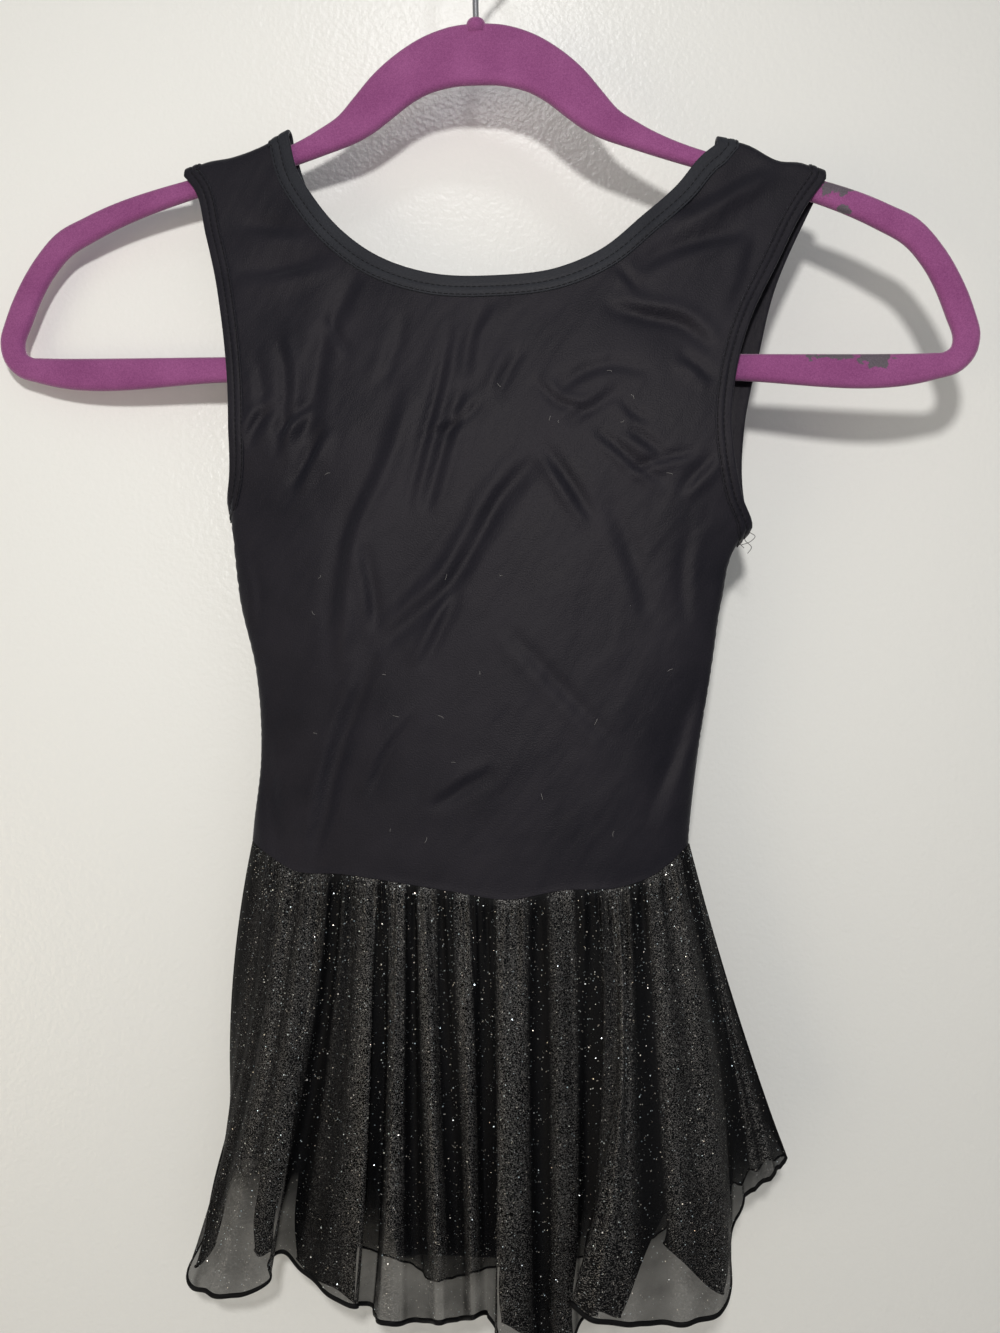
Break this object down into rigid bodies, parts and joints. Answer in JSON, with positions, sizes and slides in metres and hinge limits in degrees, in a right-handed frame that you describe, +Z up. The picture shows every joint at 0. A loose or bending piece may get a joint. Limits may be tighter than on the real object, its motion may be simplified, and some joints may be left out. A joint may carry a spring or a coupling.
{
  "type": "skirted dance leotard on a hanger",
  "caption": "Child's sleeveless black dance leotard with a round neck, gathered sheer glitter skirt and brief, hanging on a slim purple flocked hanger with a steel hook.",
  "frame": {"origin": "the point inside the top of the hook's loop, where it bears on a rail", "axes": "+Z up, the garment's front faces -Y, +X is to the right in the front view"},
  "size_m": [0.4471, 0.076, 0.6603],
  "materials": {
    "black_jersey": "matt stretch knit",
    "glitter_mesh": "sheer mesh with fine glitter",
    "purple_flock": "short velvet flock over moulded plastic",
    "hook_steel": "plated wire"
  },
  "bodies": {
    "root": {"bodice_front": "black_jersey", "bodice_back": "black_jersey", "neck_band": "black_jersey", "armhole_band_left": "black_jersey", "armhole_band_right": "black_jersey", "skirt_front": "glitter_mesh", "skirt_back": "glitter_mesh", "brief_front": "black_jersey", "brief_back": "black_jersey", "leg_band_left": "black_jersey", "leg_band_right": "black_jersey", "hanger_body": "purple_flock", "hanger_hook": "hook_steel"}
  },
  "joints": []
}
